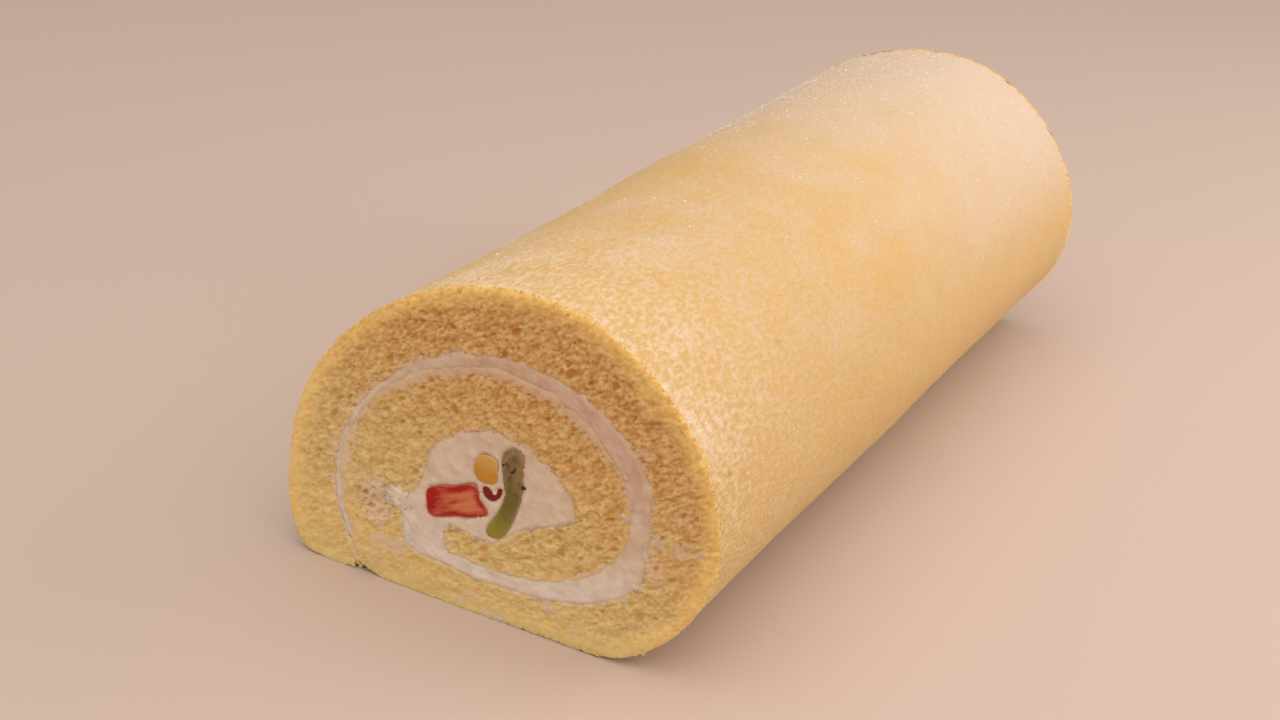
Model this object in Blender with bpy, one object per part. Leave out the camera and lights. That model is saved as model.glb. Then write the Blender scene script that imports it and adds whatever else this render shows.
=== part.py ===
"""Filled sponge roll: one baked sheet rolled round whipped cream and rows of cut fruit.

Metres, +Z up. The roll lies along Y on its seam, rests on Z = 0 and is centred on the origin.
Both ends are knife cuts that show the same turns; the end at -Y is read with +X to the right.
"""
import bmesh
import bpy
from math import cos, pi
from mathutils import Matrix, Vector
from mathutils.geometry import interpolate_bezier

MM = 0.001

# Driving dimensions
ROLL_LENGTH = 0.217
FIT_GAP = 0.0003        # air kept between touching pieces
SLACK = 0.012           # share of its size that the roll loses between its full sections
FULL_SECTIONS = 3       # the two ends and the middle are the full sections
LENGTH_CUTS = 5         # cuts across the length that let the roll follow its slack
STEPS = 4               # straight pieces from one station of an outline to the next
FRUIT_STEPS = 2

# The sponge sheet from its outer end, under the left side, to its inner end in the cream.
# Each station crosses the sheet, in millimetres: skin side X, skin side Z, cream side X, cream side Z.
SHEET_STATIONS = (
    (-35.0, 0.0, -33.8, 2.6),
    (-41.5, 0.0, -35.8, 7.4),
    (-48.2, 1.6, -37.5, 11.8),
    (-51.4, 8.6, -39.1, 16.6),
    (-51.6, 20.5, -39.5, 22.8),
    (-49.4, 33.0, -37.6, 30.6),
    (-43.7, 45.8, -32.7, 40.2),
    (-34.6, 57.0, -25.4, 48.6),
    (-18.6, 68.4, -12.4, 56.9),
    (1.4, 74.6, 2.4, 60.4),
    (20.6, 73.4, 16.8, 58.9),
    (38.2, 62.9, 29.4, 52.0),
    (49.3, 46.6, 36.6, 42.2),
    (51.9, 30.0, 36.9, 31.0),
    (45.7, 13.6, 35.2, 19.2),
    (33.0, 2.2, 25.6, 12.1),
    (10.0, 0.0, 8.6, 8.3),
    (-12.0, 0.0, -12.0, 8.8),
    (-28.2, 0.0, -19.4, 9.9),
    (-33.4, 3.9, -21.3, 12.8),
    (-35.3, 9.8, -22.1, 16.6),
    (-36.9, 15.8, -22.2, 21.2),
    (-37.5, 25.0, -18.1, 25.2),
    (-33.2, 36.4, -16.1, 30.8),
    (-20.3, 49.4, -11.4, 38.4),
    (0.1, 56.8, 3.0, 43.5),
    (19.8, 52.7, 12.6, 40.0),
    (30.9, 40.4, 19.1, 34.8),
    (30.8, 25.8, 20.0, 29.8),
    (22.4, 17.5, 15.4, 26.6),
    (12.0, 13.3, 9.0, 23.9),
    (2.0, 12.0, 1.4, 18.0),
    (-9.6, 12.6, -9.8, 18.8),
)
INNER_END_BULGE = 1.2   # millimetres that the sheet's inner end stands out at its middle
CREAM_FROM = 1.25       # station where the ring of cream is thick enough to be a layer
CREAM_TO = 19.75        # station of the turn inside that faces it

# Rows of fruit laid along the roll: their cut outlines, in millimetres.
STRAWBERRY = (
    (-15.3, 22.6), (-15.4, 25.3), (-14.8, 26.1), (-9.0, 28.1), (-4.8, 30.0), (-3.3, 29.9), (-2.4, 27.6),
    (-0.6, 25.4), (-0.4, 24.3), (-1.5, 23.5), (-9.0, 21.3), (-13.9, 19.7), (-14.9, 20.0),
)
PEACH = (
    (-3.7, 33.5), (-3.4, 35.8), (-2.1, 37.4), (0.2, 37.8), (1.5, 37.2),
    (1.8, 34.6), (1.6, 32.3), (-0.5, 31.6), (-2.9, 31.9),
)
CHERRY_SLIVER = (
    (-1.6, 30.2), (-1.0, 28.6), (0.4, 28.0), (1.7, 28.4), (2.6, 29.6), (2.8, 31.1),
    (2.2, 31.0), (1.8, 30.0), (1.1, 29.6), (0.3, 30.0), (-0.4, 30.6),
)
KIWI = (
    (4.8, 41.0), (3.3, 39.7), (2.9, 37.2), (3.3, 34.0), (3.9, 30.4), (2.6, 26.6), (0.8, 23.2), (-0.5, 20.7),
    (0.1, 19.7), (2.5, 19.7), (4.2, 21.9), (6.0, 25.6), (7.2, 30.0), (7.7, 35.0), (7.7, 40.2), (7.1, 41.1),
)


def smooth_line(points, steps, closed=False):
    """A smooth line through the points, each span cut into the given number of straight pieces."""
    count = len(points)

    def point_at(index):
        if closed:
            return points[index % count]
        return points[min(max(index, 0), count - 1)]

    def slope_at(index):
        before = point_at(index) - point_at(index - 1)
        after = point_at(index + 1) - point_at(index)
        if before.length == 0 or after.length == 0:
            return (before + after).normalized()
        share = before.length / (before.length + after.length)
        return before.normalized() * (1 - share) + after.normalized() * share

    line = []
    for index in range(count if closed else count - 1):
        start, end = point_at(index), point_at(index + 1)
        reach = (end - start).length / 3
        first_handle = start + slope_at(index) * reach
        second_handle = end - slope_at(index + 1) * reach
        line += interpolate_bezier(start, first_handle, second_handle, end, steps + 1)[:-1]
    return line if closed else line + [points[-1]]


def offset_line(line, distance, closed=False):
    """The line moved to its left by the distance."""
    last = len(line) - 1
    moved = []
    for index, point in enumerate(line):
        before = line[index - 1] if index or closed else point
        after = line[(index + 1) % len(line)] if index < last or closed else point
        along = (after - before).normalized()
        moved.append(point + Vector((-along.y, along.x)) * distance)
    return moved


def round_outside(line, distance):
    """The closed line grown by the distance, whichever way round it runs."""
    area = sum(line[index - 1].cross(point) for index, point in enumerate(line))
    return offset_line(line, distance if area < 0 else -distance, closed=True)


def sheet_sides():
    """The skin side and the cream side of the sheet, from its outer end to its inner end."""
    skin_side = smooth_line([Vector(row[:2]) * MM for row in SHEET_STATIONS], STEPS)
    cream_side = smooth_line([Vector(row[2:]) * MM for row in SHEET_STATIONS], STEPS)
    skin_side = [Vector((point.x, max(point.y, 0.0))) for point in skin_side]
    return skin_side, cream_side


def inner_end_middle(skin_side, cream_side, stand_out):
    """The middle of the sheet's inner end, standing out from the straight cut."""
    cut = cream_side[-1] - skin_side[-1]
    outward = Vector((-cut.y, cut.x)).normalized()
    return (skin_side[-1] + cream_side[-1]) / 2 + outward * stand_out


def sheet_outline():
    skin_side, cream_side = sheet_sides()
    middle = inner_end_middle(skin_side, cream_side, INNER_END_BULGE * MM)
    return skin_side + [middle] + cream_side[::-1]


def cream_outline():
    """The space left between the sheet's turns, closed round the sheet's inner end."""
    skin_side, cream_side = sheet_sides()
    ring_outside = offset_line(cream_side, -FIT_GAP)[round(CREAM_FROM * STEPS):]
    ring_inside = offset_line(skin_side, FIT_GAP)[round(CREAM_TO * STEPS):]
    middle = inner_end_middle(skin_side, cream_side, INNER_END_BULGE * MM + FIT_GAP)
    sideways = Vector((FIT_GAP, 0))
    ring_outside[-1] -= sideways
    ring_inside[-1] -= sideways
    return ring_outside + [middle] + ring_inside[::-1]


def fruit_outline(points):
    return smooth_line([Vector(point) * MM for point in points], FRUIT_STEPS, closed=True)


def lay_along(y):
    """Share of its full size that the roll has at a place along its length."""
    turns = (y / ROLL_LENGTH + 0.5) * (FULL_SECTIONS - 1)
    return 1 - SLACK * (1 - cos(2 * pi * turns)) / 2


def closed_solid(curve_object, collection):
    """The curve as one welded mesh, cut across its length and drawn in where the roll is slack."""
    evaluated = curve_object.evaluated_get(bpy.context.evaluated_depsgraph_get())
    mesh = bpy.data.meshes.new_from_object(evaluated)
    mesh.transform(curve_object.matrix_world)
    solid = bpy.data.objects.new(curve_object.name + "_solid", mesh)
    bpy.data.objects.remove(curve_object)
    collection.objects.link(solid)

    shape = bmesh.new()
    shape.from_mesh(mesh)
    bmesh.ops.remove_doubles(shape, verts=shape.verts, dist=0.00001)
    for cut in range(1, LENGTH_CUTS + 1):
        place = Vector((0, ROLL_LENGTH * (cut / (LENGTH_CUTS + 1) - 0.5), 0))
        everything = shape.verts[:] + shape.edges[:] + shape.faces[:]
        bmesh.ops.bisect_plane(shape, geom=everything, plane_co=place, plane_no=(0, 1, 0))
    for vertex in shape.verts:
        share = lay_along(vertex.co.y)
        vertex.co.x *= share
        vertex.co.z *= share
    bmesh.ops.recalc_face_normals(shape, faces=shape.faces)
    shape.to_mesh(mesh)
    shape.free()
    return solid


def make_row(name, outline, material, collection, pockets=()):
    """One piece of the roll: an outline, with any pockets through it, carried along the whole length."""
    curve = bpy.data.curves.new(name + "_outline", "CURVE")
    curve.dimensions = "2D"
    curve.fill_mode = "BOTH"
    curve.extrude = ROLL_LENGTH / 2
    for line in (outline, *pockets):
        spline = curve.splines.new("POLY")
        spline.points.add(len(line) - 1)
        for place, point in zip(spline.points, line):
            place.co = (point.x, point.y, 0, 1)
        spline.use_cyclic_u = True
    curve_object = bpy.data.objects.new(name + "_outline", curve)
    curve_object.matrix_world = Matrix.Rotation(pi / 2, 4, "X")
    collection.objects.link(curve_object)
    bpy.context.view_layer.update()

    solid = closed_solid(curve_object, collection)
    solid.name = name
    solid.data.name = name
    solid.data.materials.clear()
    solid.data.materials.append(material)
    return solid


def finish(name, colour, roughness):
    material = bpy.data.materials.new(name)
    material.use_nodes = True
    shader = material.node_tree.nodes["Principled BSDF"]
    shader.inputs["Base Color"].default_value = (*colour, 1)
    shader.inputs["Roughness"].default_value = roughness
    shader.inputs["Metallic"].default_value = 0
    return material


def main():
    for old in list(bpy.data.objects):
        bpy.data.objects.remove(old)
    collection = bpy.data.collections.new("swiss_roll")
    bpy.context.scene.collection.children.link(collection)

    sponge = finish("golden_sponge", (0.62, 0.36, 0.13), 0.9)
    make_row("sponge", sheet_outline(), sponge, collection)

    rows = (
        ("strawberry", STRAWBERRY, finish("strawberry_flesh", (0.62, 0.05, 0.04), 0.35)),
        ("peach", PEACH, finish("peach_flesh", (0.72, 0.36, 0.05), 0.35)),
        ("cherry_sliver", CHERRY_SLIVER, finish("cherry_flesh", (0.25, 0.01, 0.01), 0.3)),
        ("kiwi", KIWI, finish("kiwi_flesh", (0.28, 0.25, 0.06), 0.35)),
    )
    pockets = []
    for name, points, material in rows:
        outline = fruit_outline(points)
        pockets.append(round_outside(outline, FIT_GAP))
        make_row(name, outline, material, collection)
    make_row("cream", cream_outline(), finish("whipped_cream", (0.86, 0.74, 0.62), 0.5), collection, pockets)


main()
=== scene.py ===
from math import cos, exp, hypot, pi, radians, sin, sqrt

import bmesh
import bpy
import numpy as np
from mathutils import Matrix, Quaternion, Vector, noise
from mathutils.kdtree import KDTree


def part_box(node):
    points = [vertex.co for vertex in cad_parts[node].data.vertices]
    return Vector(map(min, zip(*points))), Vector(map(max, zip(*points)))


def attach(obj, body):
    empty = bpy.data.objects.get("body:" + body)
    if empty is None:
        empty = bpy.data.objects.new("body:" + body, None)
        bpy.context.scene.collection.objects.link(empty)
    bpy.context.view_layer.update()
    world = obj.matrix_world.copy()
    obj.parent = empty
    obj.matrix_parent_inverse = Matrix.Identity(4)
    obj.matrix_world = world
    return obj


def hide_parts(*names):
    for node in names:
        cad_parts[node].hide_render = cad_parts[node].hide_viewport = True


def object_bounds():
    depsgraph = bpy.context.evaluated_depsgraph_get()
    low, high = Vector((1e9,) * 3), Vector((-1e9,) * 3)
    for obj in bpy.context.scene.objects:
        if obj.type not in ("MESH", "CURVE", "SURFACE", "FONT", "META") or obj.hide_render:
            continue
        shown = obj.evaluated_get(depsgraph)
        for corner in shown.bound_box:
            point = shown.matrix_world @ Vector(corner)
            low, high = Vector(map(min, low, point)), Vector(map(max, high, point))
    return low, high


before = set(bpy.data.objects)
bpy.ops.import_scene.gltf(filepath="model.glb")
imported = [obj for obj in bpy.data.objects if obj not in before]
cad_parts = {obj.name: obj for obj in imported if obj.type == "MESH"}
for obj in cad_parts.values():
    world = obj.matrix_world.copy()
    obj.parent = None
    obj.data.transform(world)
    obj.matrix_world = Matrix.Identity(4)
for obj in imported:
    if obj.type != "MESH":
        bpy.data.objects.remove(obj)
cad_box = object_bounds()

# Sponge crumb
# A thin sheet of whisked egg sponge, baked flat and rolled up warm, so its turns follow the packed
# cut end. The knife tears its open cells a little at both cuts, and near the skin the crumb is
# close and golden. Each half is a flat block with a finely divided end, rolled up.
MM = 0.001
NEAR = cad_box[0].y / MM        # along Y, the cut that the camera sees
FAR = cad_box[1].y / MM         # and the cut at the other end
CUTS = ((NEAR, 1), (FAR, -1))   # both cuts, and the way into the roll from each
NEAR_MESH = 0.25                # side of a mesh square on the near cut
FAR_MESH = 0.42                 # and on the far one
SKIN = 0.8                      # thickness of the skin that covers the crumb
OVER_SKIN = 0.06                # at a cut the crumb comes this close to the roll's outside
PRESSED = 1.0                   # and reaches this far behind the cream
END_BULGE = 1.6                 # how far the sheet's inner end stands out at its middle
BEHIND_CUT = (2.6, 6, 30, FAR)  # how far behind a cut the crumb's rings lie
FACE_BACK = 0.1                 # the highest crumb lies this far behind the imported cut
RIM = 2.0                       # how far in from the skin the edge of the cut is rounded
CHIP = 0.8                      # depth of the places where the knife chipped the edge
GOLDEN_BAND = 3.3               # depth of the close golden crumb under the outer turn's skin
INNER_BAND = -0.4               # the inner turn has next to none
CELLS = (1.45, 0.65)            # usual widths of the crumb's large and small open cells
CELL_DEPTH = 0.45
TEAR = 2.3                      # distance between the places where the knife tore the crumb
TEAR_DEPTH = 0.5
DRAWN_OUT = 1.8                 # how much longer than high its cells and tears are
LEAN = radians(32)              # and how far they lean, rising to the right
TORN = (-28.5, 18, 6, 8)        # the place on the cut that is torn the most, and its reach
SEAM = (-30.5, 4.4)             # middle and half width of the hollow under the roll at its seam
SEAM_LIFT = 0.5                 # height of that hollow
LINE_STEP = 0.25                # distance between the lines that are drawn through the sheet
FACING_REACH = 14               # how far ahead the skin looks for the cream side that faces it
FACING_BLUR = 5                 # and how far that is evened out


def packed_shape(node):
    """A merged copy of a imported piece."""
    shape = bmesh.new()
    shape.from_mesh(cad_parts[node].data)
    bmesh.ops.remove_doubles(shape, verts=shape.verts, dist=0.01 * MM)
    return shape


def on_cut(face, cut):
    return all(abs(vertex.co.y / MM - cut) < 0.01 for vertex in face.verts)


def cut_outline(node):
    """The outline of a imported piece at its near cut, in millimetres."""
    shape = packed_shape(node)
    cut = {face for face in shape.faces if on_cut(face, NEAR)}
    following = {}
    for face in cut:
        for corner in face.loops:
            if corner.link_loop_radial_next.face not in cut:
                following[corner.vert] = corner.link_loop_next.vert
    start, place = following.popitem()
    corners = [start]
    while place is not start:
        corners.append(place)
        place = following.pop(place)
    outline = np.array([(corner.co.x / MM, corner.co.z / MM) for corner in corners])
    shape.free()
    return outline


def lengths_along(line):
    steps = np.linalg.norm(np.diff(line, axis=0), axis=1)
    return np.concatenate([[0], np.cumsum(steps)])


def read_line(line, places, along):
    """Points of the line at places measured along it."""
    return np.column_stack([np.interp(places, along, line[:, k]) for k in range(2)])


def smooth_line(points, spacing):
    """A smooth line through the points, with a point at every spacing."""
    knots = np.vstack([2 * points[:1] - points[1:2], points, 2 * points[-1:] - points[-2:-1]])
    steps = np.diff(knots, axis=0)
    reach = np.linalg.norm(steps, axis=1, keepdims=True)
    heading = steps / reach
    slope = (heading[:-1] * reach[1:] + heading[1:] * reach[:-1]) / (reach[:-1] + reach[1:])
    start, end, chord = points[:-1], points[1:], reach[1:-1]
    parts = []
    for t in np.linspace(0, 1, 16, endpoint=False):
        share = t * t * (3 - 2 * t)
        bend = slope[:-1] * t * (1 - t) ** 2 - slope[1:] * t * t * (1 - t)
        parts.append(start + (end - start) * share + bend * chord)
    line = np.vstack([np.stack(parts, axis=1).reshape(-1, 2), points[-1:]])
    along = lengths_along(line)
    return read_line(line, np.linspace(0, along[-1], round(along[-1] / spacing) + 1), along)


def sheet_sides():
    """The skin side and the cream side of the rolled sheet, each from its outer end inwards."""
    loop = cut_outline("sponge")
    into, out = loop - np.roll(loop, 1, axis=0), np.roll(loop, -1, axis=0) - loop
    turn = np.arctan2(into[:, 0] * out[:, 1] - into[:, 1] * out[:, 0], (into * out).sum(axis=1))
    corners = sorted(np.argsort(-np.abs(turn))[:4])
    sides = []
    for first, last in zip(corners, corners[1:] + [corners[0] + len(loop)]):
        sides.append(np.take(loop, range(first, last + 1), axis=0, mode="wrap"))
    sides = sorted(sides, key=lambda side: -lengths_along(side)[-1])[:2]
    return [side if side[0, 1] < side[-1, 1] else side[::-1] for side in sides]


def ease(low, high, value):
    """A soft step from 0 at low to 1 at high."""
    share = min(max((value - low) / (high - low), 0), 1)
    return share * share * (3 - 2 * share)


def lines_through_sheet():
    """The skin ends and the cream ends of close lines through the sheet, and their places along it."""
    skin_side, cream_side = (smooth_line(side, LINE_STEP) for side in sheet_sides())
    for side in (skin_side, cream_side):
        lifted = [ease(SEAM[1], 1, abs(x - SEAM[0])) * ease(4, 0, z) for x, z in side]
        side[:, 1] += SEAM_LIFT * np.array(lifted)
    facing = [0]
    for point in skin_side[1:]:
        ahead = cream_side[facing[-1]:facing[-1] + round(FACING_REACH / LINE_STEP)]
        facing.append(facing[-1] + int(np.argmin(np.linalg.norm(ahead - point, axis=1))))
    facing[-1] = len(cream_side) - 1
    blur = round(FACING_BLUR / LINE_STEP)
    window = np.full(2 * blur + 1, 1 / (2 * blur + 1))
    facing = np.convolve(np.pad(facing, blur, mode="edge"), window, "valid")
    facing[0], facing[-1] = 0, len(cream_side) - 1
    cream_points = read_line(cream_side, facing, np.arange(len(cream_side)))
    return skin_side, cream_points, lengths_along((skin_side + cream_points) / 2)


SKIN_LINE, CREAM_LINE, LINE_PLACES = lines_through_sheet()
SHEET_LENGTH = LINE_PLACES[-1]
COVERED_FROM = LINE_PLACES[np.flatnonzero(SKIN_LINE[:, 1] < 1.3)[-1]]  # from here it is an inner turn


def across_sheet(places):
    """The skin ends, directions and lengths of the lines through the sheet at places along it."""
    skin_ends = read_line(SKIN_LINE, places, LINE_PLACES)
    through = read_line(CREAM_LINE, places, LINE_PLACES) - skin_ends
    thickness = np.linalg.norm(through, axis=1)
    return skin_ends, through / thickness[:, None], thickness


def section_shares():
    """Places along the roll where its solid changes width, and its share of the full width there."""
    co = np.array([v.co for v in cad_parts["sponge"].data.vertices]) / MM
    places = np.unique(co[:, 1].round(2))
    widths = np.array([np.ptp(co[np.abs(co[:, 1] - y) < 0.02, 0]) for y in places])
    return places, widths / widths.max()


SECTION_PLACES, SECTION_SHARES = section_shares()
ABOVE_TABLE = 0.05              # the lowest that anything lies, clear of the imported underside


def laid(x, y, z):
    """A place in metres, drawn in as much as the roll is there along its length."""
    share = np.interp(y, SECTION_PLACES, SECTION_SHARES)
    return Vector((x * share * MM, y * MM, max(z * share, ABOVE_TABLE) * MM))


def wave(*place):
    """A soft noise around 0 at a place."""
    return noise.noise(Vector(place))


def smeared(x, z):
    """How thickly the knife dragged cream over the crumb at this place of a cut, from 0 to 1."""
    thickest = 0
    for at_x, at_z, wide, high, strength in SMEARS:
        away = hypot((x - at_x) / wide, (z - at_z) / high)
        patchy = strength + 0.5 * wave(x / 2.6, z / 2.6, at_x) + 0.45 * wave(x / 0.8, z / 0.8, at_x)
        thickest = max(thickest, ease(1, 0.3, away) * min(max(patchy, 0), 1))
    return thickest


# Places, half widths and half heights of the smears, in millimetres across and up, and how thick
SMEARS = (
    (-23.4, 20.7, 4.4, 3.0, 1.0), (-28.6, 18.5, 6.4, 9.0, 1.1), (-25.0, 9.0, 7.5, 4.0, 0.6),
    (-31.5, 40.5, 2.4, 4.8, 0.85), (-34.6, 33.5, 2.2, 4.2, 0.85), (-36.6, 26.5, 2.4, 6.0, 0.9),
    (-38.9, 28.4, 1.4, 1.8, 1.0), (-38.4, 19.2, 2.6, 3.2, 1.0), (-37.6, 14.4, 2.2, 3.4, 1.0),
    (-36.0, 9.8, 2.0, 3.6, 0.85), (38.6, 24.0, 3.6, 4.4, 0.5), (44.5, 37.0, 4.2, 2.8, 0.55),
    (-29.5, 3.8, 4.6, 3.8, 0.4), (-10.5, 15.8, 2.4, 3.8, 0.5), (-31.0, 40.0, 4.0, 9.0, 0.15),
    (-6.0, 2.6, 16.0, 3.4, 0.25), (20.5, 3.0, 12.0, 3.0, 0.15),
    (38.6, 30.9, 3.2, 3.0, 0.6), (37.2, 27.5, 2.2, 3.2, 0.45), (35.4, 49.0, 3.8, 3.0, 0.5),
    (24.6, 49.8, 3.6, 2.6, 0.8), (20.8, 51.9, 3.2, 2.2, 0.6), (28.0, 46.8, 2.6, 2.6, 0.8),
    (34.8, 19.0, 2.8, 2.4, 0.5), (38.8, 38.4, 2.2, 2.4, 0.4), (31.5, 15.2, 3.4, 2.0, 0.4),
    (45.0, 31.0, 6.0, 3.0, 0.5), (14.5, 7.4, 3.2, 1.8, 0.7), (1.5, 0.9, 6.0, 2.2, 0.7),
)


def cut_back(x, z, along, deep):
    """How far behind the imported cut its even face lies, chipped and rounded off by the outer skin."""
    outside = ease(COVERED_FROM + 2, COVERED_FROM - 6, along) * (0.15 + 0.85 * ease(1, 12, z))
    outside *= 0.12 + 0.88 * ease(-50, -5, x)
    uneven = 0.12 + 0.25 * wave(along / 7, 0, 5) + 0.15 * wave(along / 1.6, 0, 2)
    chip = CHIP * ease(0.1, 0.5, wave(along / 2.6, 0, 8))
    from_round = RIM - min(max(deep, 0), RIM)
    rounded = 0.55 * (RIM - sqrt(RIM**2 - from_round**2))
    return FACE_BACK + outside * (max(uneven, 0) * exp(-deep / 3) + chip * exp(-deep / 1.2) + rounded)


def drawn_out(x, z):
    """The place on a cut for a pattern that leans as the crumb's cells and tears do."""
    return (x * cos(LEAN) + z * sin(LEAN)) / DRAWN_OUT, z * cos(LEAN) - x * sin(LEAN)


def open_cells(x, z, size, seed, share):
    """How far inside an open cell of the crumb a place lies, from 0 to 1."""
    x, z = drawn_out(x, z)
    bend = noise.noise_vector(Vector((x, z, seed)) / (2 * size)) * 0.6
    near, cells = noise.voronoi(Vector((x / size, z / size, seed)) + bend)
    opened = min(max(share + 1.6 * noise.noise(cells[0] * 7.3), 0), 1)
    return ease(0, 0.55, near[1] - near[0]) * opened


def crumb_relief(x, z, along, deep, seed):
    """How far the torn crumb lies behind that face, how far inside a cell, and how open it is there."""
    outside = ease(COVERED_FROM + 2, COVERED_FROM - 6, along)
    uneven = wave(along / 7, 0, seed) + 0.8 * ease(22, 30, x) * ease(50, 60, z)
    band = INNER_BAND + outside * (GOLDEN_BAND - INNER_BAND + uneven)
    unpressed = 0.5 + 0.5 * ease(3, 18, z + 0.15 * x)
    open_crumb = ease(band - 1.8, band + 2.2, deep)
    torn = ease(1, 0.3, hypot((x - TORN[0]) / TORN[2], (z - TORN[1]) / TORN[3]))
    share = 0.2 + 0.6 * torn
    pit = max(open_cells(x, z, CELLS[0], seed, share), 0.75 * open_cells(x, z, CELLS[1], seed + 4, share))
    pit *= (0.45 + 0.55 * open_crumb) * unpressed * (1 + 1.3 * torn)
    open_crumb *= unpressed
    tear = noise.fractal(Vector((*drawn_out(x, z), TEAR * (seed + 9))) / TEAR, 0.7, 2.1, 4)
    depth = CELL_DEPTH * pit + TEAR_DEPTH * (0.5 + tear) * (0.25 + 0.75 * open_crumb + torn)
    return max(depth, 0), pit, open_crumb


def edge_smear(x, z, from_cream, inner):
    """How much cream clings to the crumb beside the cream, most at the top of the inner turn."""
    high_up = ease(40, 52, z) * inner
    patchy = max(0.4 + 0.6 * high_up + (1.1 - 0.6 * high_up) * wave(x / 1.5, z / 1.5, 14), 0)
    return ease(1.4 + 2 * high_up, 0, from_cream) * patchy


def along_sheet(profile, columns):
    """A closed profile drawn out in even steps along X, with both its ends filled."""
    shape = bmesh.new()
    around = len(profile)
    bmesh.ops.create_grid(shape, x_segments=columns, y_segments=around, size=1)
    for vertex in shape.verts:
        column, point = (round((share + 1) / 2 * n) for share, n in zip(vertex.co, (columns, around)))
        vertex.co = (column, *profile[point % around])
    bmesh.ops.remove_doubles(shape, verts=[v for v in shape.verts if v.is_boundary], dist=1e-6)
    bmesh.ops.holes_fill(shape, edges=[e for e in shape.edges if e.is_boundary], sides=0)
    return shape


def in_scene(name, data):
    """A new object in the scene, made from its data."""
    made = bpy.data.objects.new(name, data)
    bpy.context.scene.collection.objects.link(made)
    return made


def riding_piece(name, mesh, node, material):
    """A piece that rides with the roll and, where a node is given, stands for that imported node."""
    piece = in_scene(name, mesh)
    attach(piece, "root")
    if node:
        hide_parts(node)
    mesh.materials.append(material)
    return piece


def ready_piece(name, shape, node, material):
    """The finished shape as a smooth piece that rides with the roll."""
    bmesh.ops.recalc_face_normals(shape, faces=shape.faces)
    mesh = bpy.data.meshes.new(name)
    shape.to_mesh(mesh)
    shape.free()
    mesh.shade_smooth()
    return riding_piece(name, mesh, node, material)


def keep_value(piece, name, values):
    """Stores one number for each vertex, for the materials to read."""
    attribute = piece.data.attributes.new(name, "FLOAT", "POINT")
    attribute.data.foreach_set("value", np.asarray(values, np.float32))


def linear(hex_colour):
    """The linear colour of an sRGB hex value."""
    channels = [int(hex_colour[k:k + 2], 16) / 255 for k in (1, 3, 5)]
    return [c / 12.92 if c <= 0.04045 else ((c + 0.055) / 1.055) ** 2.4 for c in channels] + [1]


# What a node of these kinds is set to where its call says nothing else
USUAL_SETTINGS = {
    "Mix": {"data_type": "RGBA"},
    "Mapping": {"vector_type": "TEXTURE"},
    "Math": {"operation": "MULTIPLY_ADD"},
}


def add(tree, kind, inputs, **settings):
    """Adds a node with its settings, each input set to a value or hex colour or linked to a node."""
    node = tree.nodes.new("ShaderNode" + kind)
    for name, value in {**USUAL_SETTINGS.get(kind, {}), **settings}.items():
        setattr(node, name, value)
    sockets = {socket.name: socket for socket in reversed(node.inputs) if socket.enabled}
    for name, value in inputs.items():
        socket = node.inputs[name] if isinstance(name, int) else sockets[name]
        if isinstance(value, str):
            value = linear(value)
        if isinstance(value, bpy.types.Node):
            value = next(output for output in value.outputs if output.enabled)
        if isinstance(value, bpy.types.NodeSocket):
            tree.links.new(value, socket)
        else:
            socket.default_value = value
    return node


def new_material(name):
    """A material without nodes but one, its node tree, and that node's place on the object."""
    material = bpy.data.materials.new(name)
    material.use_nodes = True
    tree = material.node_tree
    tree.nodes.clear()
    return material, tree, add(tree, "TexCoord", {}).outputs["Object"]


def crumb_half(name, cut, mesh_size, seed):
    """Half of the sheet, from a cut to the roll's middle, as a block that is rolled up."""
    columns = round(SHEET_LENGTH / mesh_size)
    places = np.linspace(0, SHEET_LENGTH, columns + 1)
    skin_ends, through, thickness = across_sheet(places)
    onward = Vector(skin_ends[-1] - skin_ends[-9]).normalized()

    rows = round(thickness.mean() / mesh_size)
    profile = [(row / rows, 0) for row in range(rows + 1)]
    profile += [(1, back) for back in BEHIND_CUT] + [(0, back) for back in reversed(BEHIND_CUT)]
    shape = along_sheet(profile, columns)

    inwards = 1 if cut < 0 else -1
    values = []
    for vertex in shape.verts:
        column, share, back = round(vertex.co.x), vertex.co.y, vertex.co.z
        along, thick = places[column], thickness[column]
        inner = ease(COVERED_FROM - 2, COVERED_FROM + 3, along)
        ragged = (0.5 + 0.6 * ease(3, 1, skin_ends[column][1])) * max(wave(along / 1.2, 0, 17), 0)
        at_skin = (OVER_SKIN + ragged * ease(-50, -40, skin_ends[column][0])) * (1 - inner) - PRESSED * inner
        first = np.interp(back, (0, *BEHIND_CUT[:2]), (at_skin, 1.2 * SKIN, 2 * SKIN))
        last = thick + PRESSED * (back == 0)
        deep = first + share * (last - first)
        x, z = skin_ends[column] + through[column] * deep
        bulge = END_BULGE * (1 - (2 * share - 1) ** 2) * ease(3, 0, SHEET_LENGTH - along)
        x, z = x + onward.x * bulge, z + onward.y * bulge
        pit, open_crumb, cream = 0, 1, 0
        if back == 0:
            relief, pit, open_crumb = crumb_relief(x, z, along, deep, seed)
            from_cream = min(thick - deep, SHEET_LENGTH - along, deep + 9 * (1 - inner))
            cream = max(smeared(x, z), edge_smear(x, z, from_cream, inner))
            relief = relief * (1 - 0.5 * cream) + 0.4 * ease(0.3, -PRESSED, from_cream)
            back = relief + cut_back(x, z, along, deep)
        values.append((pit, open_crumb, cream))
        vertex.co = laid(x, cut + inwards * back, z)
    piece = ready_piece(name, shape, "sponge", crumb_material)
    for attribute, column in zip(("pit", "open_crumb", "smear"), np.array(values).T):
        keep_value(piece, attribute, column)


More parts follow.
